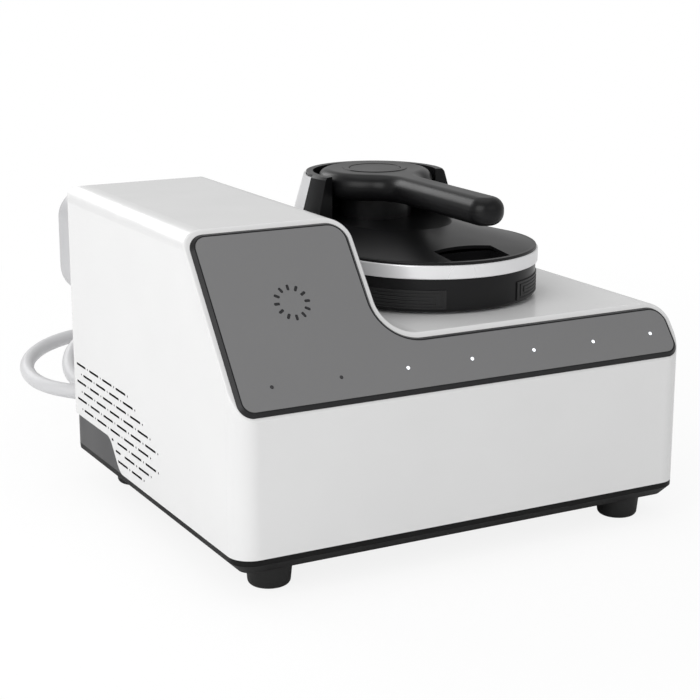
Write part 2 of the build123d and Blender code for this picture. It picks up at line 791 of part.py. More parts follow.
blade_start_y = fan_front_y + motor_plate + 0.8
blade_depth = fan_depth - motor_plate - 1.6
with BuildPart() as fan_rotor:
    with BuildSketch(facing_rear(blade_start_y)):
        with Locations((-fan_x, fan_z)):
            Circle(fan_hub_radius)
    extrude(amount=blade_depth)
    with BuildSketch(facing_rear(blade_start_y)):
        with Locations((-fan_x, fan_z)):
            Circle(fan_pin_radius + shaft_gap)
    extrude(amount=fan_depth - 3.0, mode=Mode.SUBTRACT)
    for blade in range(fan_blades):
        turn = 360.0 / fan_blades * blade
        root = Plane(origin=(fan_x, blade_start_y + blade_depth / 2, fan_z), x_dir=(0, 1, 0),
                     z_dir=(cos(radians(turn)), 0, sin(radians(turn))))
        with BuildSketch(root.offset(fan_hub_radius - 2.0)):
            with BuildLine() as outline:
                FilletPolyline(
                    (-blade_depth / 2 + 0.6, -4.6),
                    (-blade_depth / 2 + 2.4, -4.6),
                    (blade_depth / 2 - 0.6, 4.6),
                    (blade_depth / 2 - 2.4, 4.6),
                    radius=0.5,
                    close=True,
                )
            make_face(outline.edges())
        extrude(amount=fan_bore - fan_tip_gap - fan_hub_radius + 1.6)
    with BuildSketch(facing_rear(blade_start_y - 1.0)):
        with Locations((-fan_x, fan_z)):
            Circle(fan_bore - fan_tip_gap)
    extrude(amount=blade_depth + 2.0, mode=Mode.INTERSECT)
finish(fan_rotor, "fan_rotor")

with BuildPart() as rear_form:
    with BuildSketch(at_height(0)):
        cabinet_plan(0)
    extrude(amount=console_z)
    with BuildSketch(Plane.YZ):
        side_profile(0)
    extrude(amount=body_width, both=True, mode=Mode.INTERSECT)

with BuildPart() as exhaust_cap:
    # a shallow rounded box over the fan, slotted across its back
    with BuildSketch(facing_rear(rear_y - cap_run_on)):
        with Locations((-fan_x, fan_z)):
            RectangleRounded(cap_width, cap_height, cap_corner)
    extrude(amount=cap_run_on + cap_reach)
    fillet(exhaust_cap.edges().group_by(Axis.Y)[-1], cap_round)
    with BuildSketch(facing_rear(rear_y - cap_run_on)):
        with Locations((-fan_x, fan_z)):
            RectangleRounded(cap_width - 2 * cap_wall, cap_height - 2 * cap_wall, cap_corner - cap_wall)
    extrude(amount=cap_run_on + cap_reach - cap_wall, mode=Mode.SUBTRACT)
    add(rear_form.part, mode=Mode.SUBTRACT)
    with BuildSketch(facing_rear(rear_y)):
        with Locations((-fan_x, fan_z)):
            with GridLocations(0, cap_slot_pitch, 1, cap_slots):
                SlotOverall(cap_slot_length, cap_slot_height)
    extrude(amount=2 * cap_reach, mode=Mode.SUBTRACT)
finish(exhaust_cap, "exhaust_cap")

# ---------------------------------------------------------------- electronics on the tray
board_x, board_y = 63.0, mid_y - 9.0
board_size = (250.0, 170.0)
board_z = tray_inner_z + standoff_height
board_top = board_z + board_thickness
standoff_radius = 3.5
board_pilot = 1.4
corner_inset = 6.0
board_corners = [
    (board_x + i * (board_size[0] / 2 - corner_inset), board_y + j * (board_size[1] / 2 - corner_inset))
    for i in (-1, 1) for j in (-1, 1)
]
supply_x, supply_y = -140.0, mid_y - 9.0
supply_size = (110.0, 180.0, 45.0)
sink_x, sink_y = 130.0, board_y
sink_size = (90.0, 64.0, 42.0)
sink_fins = 9
fin_thickness = 3.0
sink_base = 6.0
can_radius, can_height, can_count, can_pitch = 15.0, 50.0, 3, 36.0
can_x = 30.0
filter_x, filter_y = inlet_x, rear_y - 68.0
filter_size = (60.0, 45.0, 28.0)
loom_radius = 3.0

with BuildPart() as board_standoffs:
    with Locations(*[(x, y, tray_inner_z) for x, y in board_corners]):
        Cylinder(standoff_radius, standoff_height, align=(Align.CENTER, Align.CENTER, Align.MIN))
        Cylinder(
            board_pilot,
            2 * standoff_height,
            align=(Align.CENTER, Align.CENTER, Align.CENTER),
            mode=Mode.SUBTRACT,
        )
finish(board_standoffs, "board_standoffs")

with BuildPart() as main_board:
    with BuildSketch(at_height(board_z)):
        with Locations((board_x, board_y)):
            RectangleRounded(*board_size, 4.0)
        with Locations(*board_corners):
            Circle(board_pilot + screw_gap, mode=Mode.SUBTRACT)
    extrude(amount=board_thickness)
finish(main_board, "main_board")

with BuildPart() as board_screws:
    with Locations(*[(x, y, board_top) for x, y in board_corners]):
        Cylinder(board_pilot * 2, 2.0, align=(Align.CENTER, Align.CENTER, Align.MIN))
        Cylinder(board_pilot - 0.1, 8.0, align=(Align.CENTER, Align.CENTER, Align.MAX))
finish(board_screws, "board_screws")

hose_header = (-45.0, board_y + 62.0)
panel_header = (-45.0, board_y - 66.0)
supply_header = (-45.0, board_y)
header_size = (16.0, 14.0, 11.0)
chip_spots = [(board_x + 10.0 + i * 26.0, board_y + j * 60.0) for i in range(4) for j in (-1, 1)]
with BuildPart() as board_parts:
    for x, y in (hose_header, panel_header, supply_header):
        with BuildSketch(at_height(board_top)):
            with Locations((x, y)):
                Rectangle(header_size[0], header_size[1])
        extrude(amount=header_size[2])
    with BuildSketch(at_height(board_top)):
        with Locations(*chip_spots):
            Rectangle(18.0, 14.0)
    extrude(amount=3.0)
finish(board_parts, "board_parts")

with BuildPart() as storage_capacitors:
    spots = [(can_x, board_y + (i - (can_count - 1) / 2) * can_pitch, board_top) for i in range(can_count)]
    with Locations(*spots):
        Cylinder(can_radius, can_height, align=(Align.CENTER, Align.CENTER, Align.MIN))
    chamfer(storage_capacitors.edges().group_by(Axis.Z)[-1], 1.2)
finish(storage_capacitors, "storage_capacitors")

with BuildPart() as heat_sink:
    with BuildSketch(at_height(board_top)):
        with Locations((sink_x, sink_y)):
            Rectangle(sink_size[0], sink_size[1])
    extrude(amount=sink_base)
    with BuildSketch(at_height(board_top + sink_base)):
        with Locations((sink_x, sink_y)):
            fin_pitch = (sink_size[0] - fin_thickness) / (sink_fins - 1)
            with GridLocations(fin_pitch, 0, sink_fins, 1):
                Rectangle(fin_thickness, sink_size[1])
    extrude(amount=sink_size[2] - sink_base)
finish(heat_sink, "heat_sink")

with BuildPart() as power_supply:
    with BuildSketch(at_height(tray_inner_z)):
        with Locations((supply_x, supply_y)):
            RectangleRounded(supply_size[0], supply_size[1], 2.0)
    extrude(amount=supply_size[2])
    with BuildSketch(at_height(tray_inner_z + supply_size[2])):
        with Locations((supply_x, supply_y)):
            with GridLocations(9.0, 24.0, 9, 5):
                SlotOverall(18.0, 4.0, rotation=90)
    extrude(amount=-1.5, mode=Mode.SUBTRACT)
finish(power_supply, "power_supply")

with BuildPart() as mains_filter:
    with BuildSketch(at_height(tray_inner_z)):
        with Locations((filter_x, filter_y)):
            RectangleRounded(filter_size[0], filter_size[1], 2.0)
    extrude(amount=filter_size[2])
finish(mains_filter, "mains_filter")

with BuildPart() as buzzer:
    with BuildSketch(at_height(board_top)):
        with Locations((board_x + 108.0, board_y - 62.0)):
            Circle(9.0)
    extrude(amount=9.0)
    with BuildSketch(at_height(board_top + 9.0)):
        with Locations((board_x + 108.0, board_y - 62.0)):
            Circle(1.2)
    extrude(amount=-2.0, mode=Mode.SUBTRACT)
finish(buzzer, "buzzer")


def loom(points, radii, radius):
    """A round bundle of wires along straight runs joined by arcs."""
    with BuildLine() as route:
        FilletPolyline(*points, radius=radii)
    start = Plane(origin=route.line @ 0, z_dir=route.line % 0)
    with BuildSketch(start) as section:
        Circle(radius)
    sweep(section.sketch, path=route.line)


filter_top = tray_inner_z + filter_size[2]
inlet_tail_y = plate_back_y - inlet_body[2]
with BuildPart() as mains_loom:
    loom(
        [
            (inlet_x - 10.0, inlet_tail_y, inlet_z - 4.0),
            (inlet_x - 10.0, inlet_tail_y - 24.0, inlet_z - 4.0),
            (inlet_x - 10.0, inlet_tail_y - 24.0, filter_top),
        ],
        [12.0],
        loom_radius,
    )
    loom(
        [
            (filter_x - filter_size[0] / 2, filter_y, tray_inner_z + 14.0),
            (supply_x + 20.0, filter_y, tray_inner_z + 14.0),
            (supply_x + 20.0, supply_y + supply_size[1] / 2, tray_inner_z + 14.0),
        ],
        [16.0],
        loom_radius,
    )
    loom(
        [
            (supply_x + supply_size[0] / 2, supply_header[1] - 30.0, board_top + 5.0),
            (supply_header[0] - 22.0, supply_header[1] - 30.0, board_top + 5.0),
            (supply_header[0] - 22.0, supply_header[1], board_top + 5.0),
            (supply_header[0] - header_size[0] / 2, supply_header[1], board_top + 5.0),
        ],
        [6.0, 6.0],
        loom_radius,
    )
finish(mains_loom, "mains_loom")

gauge_back = board_plane.offset(-board_thickness)
gauge_tail = gauge_back.from_local_coords((dial_x + 20.0, dial_v - 20.0, 0))
gauge_turn = gauge_back.from_local_coords((dial_x + 20.0, dial_v - 20.0, -34.0))
with BuildPart() as panel_loom:
    loom(
        [
            tuple(gauge_tail),
            tuple(gauge_turn),
            (panel_header[0], panel_header[1], gauge_turn.Z - 40.0),
            (panel_header[0], panel_header[1], board_top + header_size[2]),
        ],
        [14.0, 16.0],
        loom_radius,
    )
finish(panel_loom, "panel_loom")

# ---------------------------------------------------------------- hose socket, plug and hose
socket_back_y = plate_front_y - 12.0
socket_mouth_y = rear_y + socket_reach
with BuildPart() as hose_socket:
    with BuildSketch(facing_rear(plate_back_y)):
        with Locations((-hose_x, hose_z)):
            Circle(socket_radius)
    extrude(amount=socket_mouth_y - plate_back_y)
    fillet(hose_socket.edges().sort_by(Axis.Y)[-1], 1.2)
    with BuildSketch(facing_rear(socket_back_y)):
        with Locations((-hose_x, hose_z)):
            Circle(socket_hole_radius)
    extrude(amount=plate_back_y - socket_back_y)
    with BuildSketch(facing_rear(socket_mouth_y)):
        with Locations((-hose_x, hose_z)):
            Circle(plug_radius + shaft_gap)
    extrude(amount=-plug_length + 4.0, mode=Mode.SUBTRACT)
finish(hose_socket, "hose_socket")

collar_depth = 9.0
relief_end_y = socket_mouth_y + part_gap + collar_depth + relief_length
with BuildPart() as hose_plug:
    with BuildSketch(facing_rear(socket_mouth_y - plug_length + 4.2)):
        with Locations((-hose_x, hose_z)):
            Circle(plug_radius)
    extrude(amount=plug_length - 4.2 + part_gap)
    with BuildSketch(facing_rear(socket_mouth_y + part_gap)):
        with Locations((-hose_x, hose_z)):
            Circle(socket_radius - 1.0)
    extrude(amount=collar_depth)
    with BuildSketch(facing_rear(socket_mouth_y + part_gap + collar_depth)):
        with Locations((-hose_x, hose_z)):
            Circle(plug_radius)
    with BuildSketch(facing_rear(relief_end_y)):
        with Locations((-hose_x, hose_z)):
            Circle(hose_diameter / 2 + 1.0)
    loft(ruled=True)
finish(hose_plug, "hose_plug")

with BuildPart() as applicator_loom:
    loom(
        [
            (hose_x, socket_back_y, hose_z),
            (hose_x, socket_back_y - 46.0, hose_z),
            (hose_header[0], hose_header[1], hose_z - 30.0),
            (hose_header[0], hose_header[1], board_top + header_size[2]),
        ],
        [24.0, 24.0],
        loom_radius,
    )
finish(applicator_loom, "applicator_loom")

# ---------------------------------------------------------------- applicator head
hand_end_y = hub_y + tail_circle_radius + 38.0     # where the hose meets the applicator's sleeve
ledge_z = face_z + plate_thickness
ledge_inset = plate_inset - part_gap
lip_inset = skirt_inset + skirt_ring + 0.3
head_screw_inset = 10.0
lug_radius = 8.0
lug_top = skirt_top - 6.2
lug_thickness = 3.3
head_boss_radius = 4.5
rim_inset = 1.5
dome_inset = 5.0
dome_front = (hand_x, hub_y - 50.0)
dome_front_radius = 50.0
dome_rear_radius = 67.0
shell_wall = 3.0
band_ring = 4.0
sleeve_radius = 9.0
sleeve_tail_radius = hose_diameter / 2 + 1.0
head_screw_spots = [
    (
        hand_x + side * (head_radius - head_screw_inset) * sin(radians(turn)),
        head_centre[1] - (head_radius - head_screw_inset) * cos(radians(turn)),
    )
    for side in (-1, 1) for turn in (42.0, 88.0)
] + [
    (
        hand_x + side * (tail_circle_radius - head_screw_inset) * sin(radians(52.0)),
        hub_y + (tail_circle_radius - head_screw_inset) * cos(radians(52.0)),
    )
    for side in (-1, 1)
]

with BuildPart() as treatment_plate:
    with BuildSketch(at_height(face_z)):
        head_plan(plate_inset)
    extrude(amount=plate_thickness)
    fillet(treatment_plate.edges().group_by(Axis.Z)[0], 1.5)
    with BuildSketch(at_height(ledge_z)):
        head_plan(lip_inset)
    extrude(amount=plate_lip)
finish(treatment_plate, "treatment_plate")

with BuildPart() as head_skirt:
    with BuildSketch(at_height(face_z + 1.5)):
        head_plan(skirt_inset)
    extrude(amount=skirt_top - face_z - 1.5)
    fillet(head_skirt.edges().group_by(Axis.Z)[0], 4.0)
    with BuildSketch(at_height(face_z)):
        head_plan(ledge_inset)
    extrude(amount=plate_thickness, mode=Mode.SUBTRACT)
    with BuildSketch(at_height(ledge_z)):
        head_plan(skirt_inset + skirt_ring)
    extrude(amount=skirt_top - ledge_z, mode=Mode.SUBTRACT)
    # lugs inside the wall for the screws that hold the top shell
    with BuildSketch(at_height(lug_top)):
        with Locations(*head_screw_spots):
            Circle(lug_radius)
        head_plan(skirt_inset + 1.0, mode=Mode.INTERSECT)
        with Locations(*head_screw_spots):
            Circle(pilot_radius + screw_gap, mode=Mode.SUBTRACT)
    extrude(amount=-lug_thickness)
    # hole for the hose sleeve
    with BuildSketch(facing_rear(hub_y)):
        with Locations((-hand_x, hand_hose_z)):
            Circle(sleeve_radius + part_gap)
    extrude(amount=2 * tail_circle_radius, mode=Mode.SUBTRACT)
finish(head_skirt, "head_skirt")

pad_height = 17.0
pad_base = 0.4
pad_z = skirt_top - 18.5
pad_rings = 3
pad_ring_width = 1.5
glue_line = 0.05          # between a pad and the skirt it is stuck to


def pad_band(radius_in, radius_out, low_z, high_z, start, end, mode=Mode.ADD):
    """Part of a ring around the head, between two angles on each side of its front."""
    with BuildSketch(at_height(low_z), mode=Mode.PRIVATE) as band:
        with Locations(head_centre):
            Circle(radius_out)
            Circle(radius_in, mode=Mode.SUBTRACT)
        with BuildLine() as wedge:
            spread = 2 * head_radius
            Polyline(
                head_centre,
                (hand_x + spread * sin(radians(start)), head_centre[1] - spread * cos(radians(start))),
                (hand_x + spread * sin(radians(end)), head_centre[1] - spread * cos(radians(end))),
                close=True,
            )
        make_face(wedge.edges(), mode=Mode.INTERSECT)
    extrude(band.sketch, amount=high_z - low_z, mode=mode)


for side, pad_name in ((-1, "side_pad_left"), (1, "side_pad_right")):
    with BuildPart() as side_pad:
        outer = head_radius - skirt_inset + glue_line
        low_z, high_z = pad_z - pad_height / 2, pad_z + pad_height / 2
        pad_band(outer, outer + pad_base, low_z, high_z, pad_start, pad_end)
        # nested ridges, each a frame inside the last
        for ring in range(pad_rings):
            step = 2 * ring * pad_ring_width
            angle_step = degrees(2 * step / head_radius)
            inner_step = step + pad_ring_width
            inner_angle = degrees(2 * inner_step / head_radius)
            pad_band(
                outer, outer + pad_proud, low_z + step, high_z - step,
                pad_start + angle_step, pad_end - angle_step,
            )
            pad_band(
                outer + pad_base, outer + 2 * pad_proud, low_z + inner_step, high_z - inner_step,
                pad_start + inner_angle, pad_end - inner_angle, mode=Mode.SUBTRACT,
            )
    if side < 0:
        side_pad.part = side_pad.part.mirror(Plane.YZ.offset(hand_x))
    finish(side_pad, pad_name)

with BuildPart() as trim_band:
    with BuildSketch(at_height(skirt_top)):
        head_plan(0)
        head_plan(band_ring, mode=Mode.SUBTRACT)
    extrude(amount=band_top - skirt_top)
    outer_edges = trim_band.edges().filter_by(lambda edge: edge.length > 2 * tail_circle_radius)
    fillet([edge for edge in outer_edges.sort_by(Edge.length)[-2:]], 1.0)
finish(trim_band, "trim_band")

neck_wall = 2.0
skin_front_y = hub_y + 1.0
lead_hole_radius = 14.0
hub_screw_radius = 1.6
hub_screw_ring = 28.0
hub_screw_spots = [
    (hand_x + side * hub_screw_ring / 2**0.5, hub_y + end * hub_screw_ring / 2**0.5)
    for side in (-1, 1) for end in (-1, 1)
]


def pocket_plan(inset):
    """Plan of the finger pocket: straight sides that run out past the rim, and a bowed rear edge."""
    half, rear = pocket_half_width - inset, pocket_rear_y - inset
    front = head_centre[1] - 2 * head_radius
    with BuildLine() as outline:
        Polyline((hand_x - half, rear), (hand_x - half, front), (hand_x + half, front), (hand_x + half, rear))
        ThreePointArc((hand_x + half, rear), (hand_x, rear + pocket_bulge), (hand_x - half, rear))
    make_face(outline.edges())


with BuildPart() as top_shell:
    with BuildSketch(at_height(band_top)):
        head_plan(rim_inset)
    extrude(amount=head_rim_top - band_top)
    fillet(top_shell.edges().group_by(Axis.Z)[-1], 1.0)
    with BuildSketch(at_height(head_rim_top)):
        head_plan(dome_inset)
    with BuildSketch(at_height(dome_z)):
        circle_pair(dome_front, dome_front_radius, hub_centre, dome_rear_radius)
    loft(ruled=True)
    with BuildSketch(at_height(band_top)):
        head_plan(dome_inset + shell_wall)
    with BuildSketch(at_height(dome_z - shell_wall)):
        circle_pair(
            dome_front, dome_front_radius - shell_wall, hub_centre, dome_rear_radius - shell_wall
        )
    loft(ruled=True, mode=Mode.SUBTRACT)
    # lip that locates the shell inside the trim band
    with BuildSketch(at_height(skirt_top + 1.0)):
        head_plan(band_ring + part_gap)
        head_plan(band_ring + part_gap + 3.0, mode=Mode.SUBTRACT)
    extrude(amount=band_top + 0.5 - skirt_top)
    with BuildSketch(at_height(lug_top + part_gap)):
        with Locations(*head_screw_spots):
            Circle(head_boss_radius)
    extrude(amount=band_top + 1.5 - lug_top)
    with BuildSketch(at_height(lug_top)):
        with Locations(*head_screw_spots):
            Circle(pilot_radius)
    extrude(amount=14.0, mode=Mode.SUBTRACT)
    # finger pocket in front of the grip's tip, open towards the rim
    with BuildSketch(at_height(pocket_floor - 2.0)):
        pocket_plan(-2.0)
        head_plan(band_ring + part_gap, mode=Mode.INTERSECT)
    extrude(amount=head_rim_top - pocket_floor + 1.0)
    with BuildSketch(at_height(pocket_floor)):
        pocket_plan(0)
        head_plan(dome_inset + 1.0, mode=Mode.INTERSECT)
    extrude(amount=2 * (dome_z - pocket_floor), mode=Mode.SUBTRACT)
    # way for the leads and the screws of the grip
    with BuildSketch(at_height(band_top)):
        with Locations(hub_centre):
            Circle(lead_hole_radius)
        with Locations(*hub_screw_spots):
            Circle(hub_screw_radius + screw_gap)
    extrude(amount=dome_z, mode=Mode.SUBTRACT)
finish(top_shell, "top_shell")

with BuildPart() as neck_skin:
    with BuildSketch(Plane.XZ.offset(-hub_y)):
        with BuildLine() as outline:
            Polyline(
                (hand_x + neck_radius_foot - neck_wall, head_rim_top),
                (hand_x + neck_radius_foot, head_rim_top),
                (hand_x + neck_radius_foot, neck_shoulder_z),
                (hand_x + neck_radius_top, neck_top),
                (hand_x + neck_radius_top - neck_wall, neck_top),
                (hand_x + neck_radius_foot - neck_wall, neck_shoulder_z),
                close=True,
            )
        make_face(outline.edges())
    revolve(axis=Axis((hand_x, hub_y, 0), (0, 0, 1)), revolution_arc=360)
    with BuildSketch(at_height(head_rim_top)):
        with Locations((hand_x, skin_front_y + neck_radius_foot)):
            Rectangle(2.4 * neck_radius_foot, 2 * neck_radius_foot)
    extrude(amount=neck_top, mode=Mode.INTERSECT)
finish(neck_skin, "neck_skin")

with BuildPart() as neck_lining:
    # a ring as thick as the neck, left out in front of the hub
    with BuildSketch(Plane.XZ.offset(-hub_y)):
        with BuildLine() as outline:
            Polyline(
                (hand_x + lining_inner, head_rim_top),
                (hand_x + neck_radius_foot, head_rim_top),
                (hand_x + neck_radius_foot, neck_shoulder_z),
                (hand_x + neck_radius_top, neck_top),
                (hand_x + neck_radius_top - neck_wall, lining_top),
                (hand_x + lining_inner, lining_top),
                close=True,
            )
        make_face(outline.edges())
    revolve(axis=Axis((hand_x, hub_y, 0), (0, 0, 1)), revolution_arc=360)
    with BuildSketch(at_height(head_rim_top)):
        with BuildLine() as outline:
            Polyline(
                hub_centre,
                (hand_x - 3 * lining_outer, hub_y - 3 * lining_outer * sin(radians(lining_front_angle))),
                (hand_x, hub_y - 6 * lining_outer),
                (hand_x + 3 * lining_outer, hub_y - 3 * lining_outer * sin(radians(lining_front_angle))),
                close=True,
            )
        make_face(outline.edges())
    extrude(amount=lining_top - head_rim_top, mode=Mode.SUBTRACT)
    # behind the skin's front edge it is a thin ring inside the skin
    with BuildSketch(at_height(head_rim_top)):
        with Locations((hand_x, skin_front_y - part_gap + neck_radius_foot)):
            Rectangle(3 * neck_radius_foot, 2 * neck_radius_foot)
        with Locations(hub_centre):
            Circle(lining_outer, mode=Mode.SUBTRACT)
    extrude(amount=lining_top - head_rim_top, mode=Mode.SUBTRACT)
    # its foot follows the dome it stands on
    with BuildSketch(at_height(head_rim_top)):
        head_plan(dome_inset)
    with BuildSketch(at_height(dome_z)):
        circle_pair(dome_front, dome_front_radius, hub_centre, dome_rear_radius)
    loft(ruled=True, mode=Mode.SUBTRACT)
finish(neck_lining, "neck_lining")

# ---------------------------------------------------------------- grip and push button
core_radius = 36.0
ring_floor_z = hub_top - 4.3
bore_radius = 29.5
bore_wall = 5.0
bore_foot_z = hub_top - 14.0
ring_inner = button_radius + seat_gap
flange_top_z = ring_floor_z - seat_gap
button_flange_radius = bore_radius - 1.0
button_top_z = hub_top + 0.3
board_shelf_z = grip_under_z + 5.0
tip_y = hub_y - grip_reach
arm_half = grip_width / 2
boss_ring = 4.5


def grip_form(inset, mode=Mode.ADD):
    """The whole grip, hub and arm in one, set in from its surface; its edges are well rounded."""
    half = arm_half - inset
    with BuildPart(mode=Mode.PRIVATE) as form:
        with BuildSketch(at_height(grip_under_z + inset)) as plan:
            with Locations(hub_centre):
                Circle(hub_radius - inset)
            with Locations((hand_x, (hub_y + tip_y + arm_half) / 2)):
                Rectangle(2 * half, hub_y - tip_y - arm_half)
            corners = plan.vertices().filter_by(
                lambda v: tip_y + grip_width < v.Y < hub_y - 1.0 and abs(v.X - hand_x) < arm_half + 0.1
            )
            fillet(corners, grip_blend + inset)
            with Locations((hand_x, tip_y + arm_half)):
                Circle(half)
        extrude(amount=grip_depth - 2 * inset)
        fillet(form.edges().group_by(Axis.Z)[-1], grip_crown_round - inset)
        fillet(form.edges().group_by(Axis.Z)[0], grip_under_round - inset)
    add(form.part, mode=mode)


with BuildPart() as grip_lower:
    grip_form(0)
    grip_form(grip_wall, mode=Mode.SUBTRACT)
    # core that stands on the dome, with a boss for each screw
    with BuildSketch(at_height(dome_z)):
        with Locations(hub_centre):
            Circle(core_radius)
            Circle(core_radius - grip_wall, mode=Mode.SUBTRACT)
        with Locations(*hub_screw_spots):
            Circle(boss_ring)
    extrude(amount=grip_under_z + grip_wall - dome_z)
    with BuildSketch(at_height(dome_z)):
        with Locations(hub_centre):
            Circle(lead_hole_radius)
        with Locations(*hub_screw_spots):
            Circle(hub_screw_radius)
    extrude(amount=grip_under_z + grip_wall - dome_z, mode=Mode.SUBTRACT)
    # everything above the parting line belongs to the upper half
    with BuildSketch(at_height(grip_split_z)):
        with Locations(hub_centre):
            Circle(2 * grip_reach)
    extrude(amount=grip_depth, mode=Mode.SUBTRACT)
finish(grip_lower, "grip_lower")

with BuildPart() as grip_upper:
    grip_form(0)
    grip_form(grip_wall, mode=Mode.SUBTRACT)
    # bore for the button, with a seat for its ring
    with BuildSketch(at_height(bore_foot_z)):
        with Locations(hub_centre):
            Circle(bore_radius + bore_wall)
    extrude(amount=hub_top - grip_wall - bore_foot_z)
    with BuildSketch(at_height(grip_split_z)):
        with Locations(hub_centre):
            Circle(bore_radius)
    extrude(amount=ring_floor_z - grip_split_z, mode=Mode.SUBTRACT)
    with BuildSketch(at_height(ring_floor_z)):
        with Locations(hub_centre):
            Circle(ring_outer + part_gap)
    extrude(amount=2 * (hub_top - ring_floor_z), mode=Mode.SUBTRACT)
    with BuildSketch(at_height(grip_split_z)):
        with Locations(hub_centre):
            Circle(2 * grip_reach)
    extrude(amount=-grip_depth, mode=Mode.SUBTRACT)
finish(grip_upper, "grip_upper")

with BuildPart() as hub_ring:
    with BuildSketch(at_height(ring_floor_z)):
        with Locations(hub_centre):
            Circle(ring_outer)
            Circle(ring_inner, mode=Mode.SUBTRACT)
    extrude(amount=hub_top + 0.6 - ring_floor_z)
    fillet(hub_ring.edges().group_by(Axis.Z)[-1], 0.8)
finish(hub_ring, "hub_ring")

switch_size = 7.0
board_post_inset = 13.0
switch_body = 5.0
plunger_radius = 1.75
stem_radius = 4.0
plunger_top_z = board_shelf_z + board_thickness + switch_body + 2.0
with BuildPart() as hub_button:
    with BuildSketch(at_height(flange_top_z - 2.0)):
        with Locations(hub_centre):
            Circle(button_flange_radius)
    extrude(amount=2.0)
    with BuildSketch(at_height(flange_top_z)):
        with Locations(hub_centre):
            Circle(button_radius)
    extrude(amount=button_top_z - flange_top_z)
    fillet(hub_button.edges().group_by(Axis.Z)[-1], 1.0)
    with BuildSketch(at_height(flange_top_z - 2.0)):
        with Locations(hub_centre):
            Circle(stem_radius)
    extrude(amount=-(flange_top_z - 2.0 - plunger_top_z - button_travel - seat_gap))
finish(hub_button, "hub_button")

with BuildPart() as button_board:
    with BuildSketch(at_height(board_shelf_z)):
        with Locations(hub_centre):
            Circle(hub_radius - grip_wall - 6.0)
    extrude(amount=board_thickness)
    # posts that stand on the floor of the hub
    with BuildSketch(at_height(grip_under_z + grip_wall)):
        with Locations(hub_centre):
            with PolarLocations(hub_radius - grip_wall - board_post_inset, 4):
                Circle(post_radius)
    extrude(amount=board_shelf_z - grip_under_z - grip_wall)
    with BuildSketch(at_height(board_shelf_z + board_thickness)):
        with Locations(hub_centre):
            Rectangle(switch_size, switch_size)
    extrude(amount=switch_body)
    with BuildSketch(at_height(board_shelf_z + board_thickness + switch_body)):
        with Locations(hub_centre):
            Circle(plunger_radius)
    extrude(amount=plunger_top_z - board_shelf_z - board_thickness - switch_body)
finish(button_board, "button_board")

# ---------------------------------------------------------------- inside the applicator head
plate_back_z = ledge_z + plate_lip
former_radius = 74.0
former_thickness = 5.0
former_z = plate_back_z
winding_radius = 2.2
winding_pitch = 6.0
winding_first = 26.0
winding_turns = 7
head_board_size = (64.0, 40.0)
head_board_centre = (hand_x, hub_y + 14.0)
head_board_z = plate_back_z + 7.0

with BuildPart() as coil_former:
    with BuildSketch(at_height(former_z)):
        with Locations(head_centre):
            Circle(former_radius)
            Circle(winding_first - winding_pitch, mode=Mode.SUBTRACT)
            with PolarLocations(former_radius - 6.0, 6):
                Circle(2.2, mode=Mode.SUBTRACT)
    extrude(amount=former_thickness)
finish(coil_former, "coil_former")

with BuildPart() as coil_winding:
    with Locations((*head_centre, former_z + former_thickness + winding_radius)):
        for turn in range(winding_turns):
            Torus(winding_first + turn * winding_pitch, winding_radius)
    # bar that joins the turns and keeps them flat
    with BuildSketch(at_height(former_z + former_thickness)):
        with Locations(
            (head_centre[0], head_centre[1] + winding_first + (winding_turns - 1) * winding_pitch / 2)
        ):
            Rectangle(6.0, winding_turns * winding_pitch)
    extrude(amount=2 * winding_radius)
finish(coil_winding, "coil_winding")

with BuildPart() as head_board:
    with BuildSketch(at_height(head_board_z)):
        with Locations(head_board_centre):
            RectangleRounded(*head_board_size, 3.0)
    extrude(amount=board_thickness)
    with BuildSketch(at_height(plate_back_z)):
        with Locations(head_board_centre):
            with GridLocations(head_board_size[0] - 8.0, head_board_size[1] - 8.0, 2, 2):
                Circle(post_radius)
    extrude(amount=head_board_z - plate_back_z)
    with BuildSketch(at_height(head_board_z + board_thickness)):
        with Locations((head_board_centre[0] - 18.0, head_board_centre[1])):
            Rectangle(12.0, 12.0)
        with Locations((head_board_centre[0], head_board_centre[1] + 10.0)):
            Rectangle(12.0, 8.0)
        with Locations((head_board_centre[0], head_board_centre[1] - 10.0)):
            Rectangle(12.0, 8.0)
    extrude(amount=5.0)
finish(head_board, "head_board")

with BuildPart() as applicator_screws:
    with Locations(*[(x, y, lug_top - lug_thickness) for x, y in head_screw_spots]):
        Cylinder(pilot_radius * 2, 2.4, align=(Align.CENTER, Align.CENTER, Align.MAX))
        Cylinder(pilot_radius - 0.1, 13.0, align=(Align.CENTER, Align.CENTER, Align.MIN))
    with Locations(*[(x, y, dome_z - shell_wall) for x, y in hub_screw_spots]):
        Cylinder(hub_screw_radius * 2, 2.4, align=(Align.CENTER, Align.CENTER, Align.MAX))
        Cylinder(
            hub_screw_radius - 0.1,
            grip_under_z + grip_wall - dome_z + shell_wall - 1.0,
            align=(Align.CENTER, Align.CENTER, Align.MIN),
        )
finish(applicator_screws, "applicator_screws")

